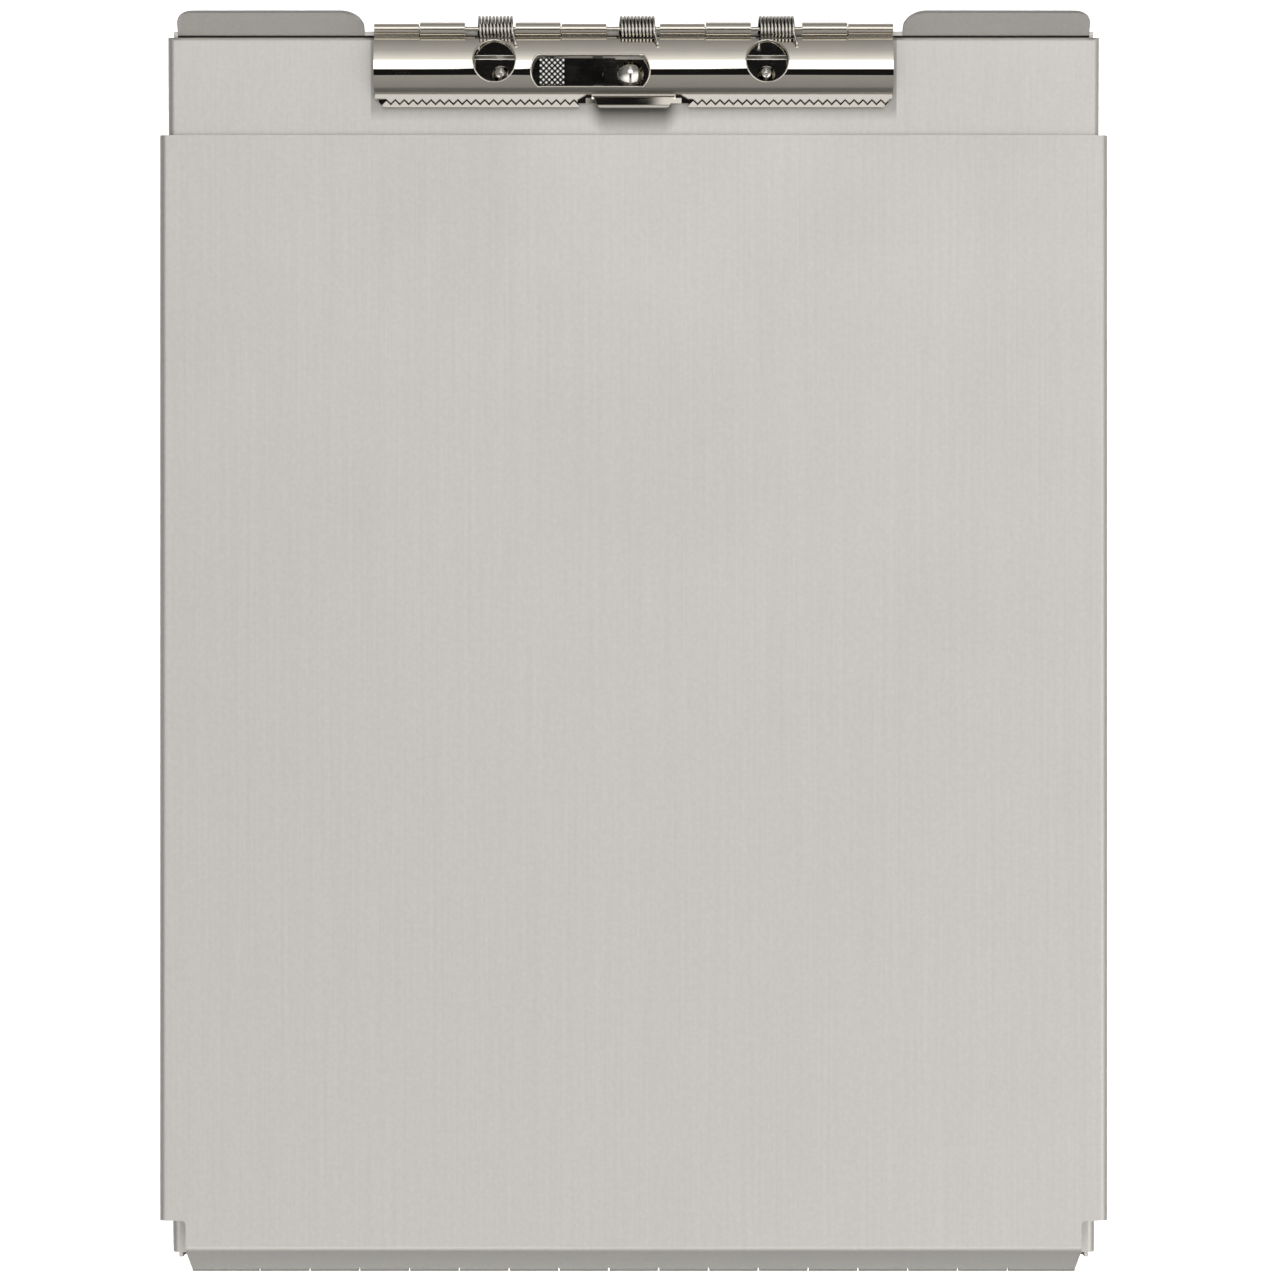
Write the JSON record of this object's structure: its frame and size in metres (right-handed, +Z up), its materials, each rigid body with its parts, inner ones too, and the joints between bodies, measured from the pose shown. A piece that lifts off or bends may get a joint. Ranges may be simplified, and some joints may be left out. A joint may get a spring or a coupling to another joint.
{
  "type": "storage clipboard box",
  "caption": "Aluminium form holder: hinged writing plate over a sloping deck with a sprung lever clip, on a shallow storage tray, all on one long bottom hinge",
  "frame": {"origin": "centre of the footprint, on the surface the tray lies on", "axes": "+X across, to the right; +Y along the box towards the clip; +Z up, out of the writing surface"},
  "size_m": [0.238, 0.3182, 0.0249],
  "materials": {
    "storage_tray": "fine brushed natural aluminium",
    "clip_deck": "fine brushed natural aluminium",
    "writing_plate": "fine brushed natural aluminium",
    "tray_hinge_leaf": "plain mill aluminium",
    "deck_hinge_leaf": "plain mill aluminium",
    "plate_hinge_leaf": "plain mill aluminium",
    "hinge_pin": "drawn steel wire",
    "clip_base_plate": "bright nickel chrome",
    "clip_jaw": "bright nickel chrome",
    "latch_stud": "bright nickel chrome",
    "clip_hinge_rod": "bright plated steel",
    "clip_rivet_left": "bright plated steel",
    "clip_rivet_right": "bright plated steel",
    "latch_bar": "bright plated steel",
    "rivet_washer_left": "zinc plated steel",
    "rivet_washer_right": "zinc plated steel",
    "latch_retainers": "zinc plated steel",
    "spring_left": "nickel plated spring wire",
    "spring_middle": "nickel plated spring wire",
    "spring_right": "nickel plated spring wire"
  },
  "bodies": {
    "tray": {"storage_tray": "storage_tray", "tray_hinge_leaf": "tray_hinge_leaf", "hinge_pin": "hinge_pin"},
    "deck": {"clip_deck": "clip_deck", "deck_hinge_leaf": "deck_hinge_leaf", "clip_base_plate": "clip_base_plate", "clip_hinge_rod": "clip_hinge_rod", "clip_rivet_left": "clip_rivet_left", "clip_rivet_right": "clip_rivet_right", "rivet_washer_left": "rivet_washer_left", "rivet_washer_right": "rivet_washer_right", "latch_stud": "latch_stud", "spring_left": "spring_left", "spring_middle": "spring_middle", "spring_right": "spring_right"},
    "jaw": {"clip_jaw": "clip_jaw", "latch_retainers": "latch_retainers"},
    "latch": {"latch_bar": "latch_bar"},
    "plate": {"writing_plate": "writing_plate", "plate_hinge_leaf": "plate_hinge_leaf"}
  },
  "joints": [
    {"name": "deck_hinge", "type": "hinge", "parent": "tray", "child": "deck", "pos_m": [0, -0.15752, 0.0018], "axis": [1, 0, 0], "range_deg": [0, 105]},
    {"name": "plate_hinge", "type": "hinge", "parent": "deck", "child": "plate", "pos_m": [0, -0.15752, 0.0018], "axis": [1, 0, 0], "range_deg": [0, 105]},
    {"name": "jaw_hinge", "type": "hinge", "parent": "deck", "child": "jaw", "pos_m": [0, 0.15468, 0.02155], "axis": [-1, 0, 0], "range_deg": [0, 40], "stiffness_Nm_per_rad": 0.2, "springref_deg": -57.3, "deforming": ["spring_left", "spring_middle", "spring_right"]},
    {"name": "latch_slide", "type": "slide", "parent": "jaw", "child": "latch", "axis": [1, 0, 0], "range_m": [0, 0.005]}
  ]
}
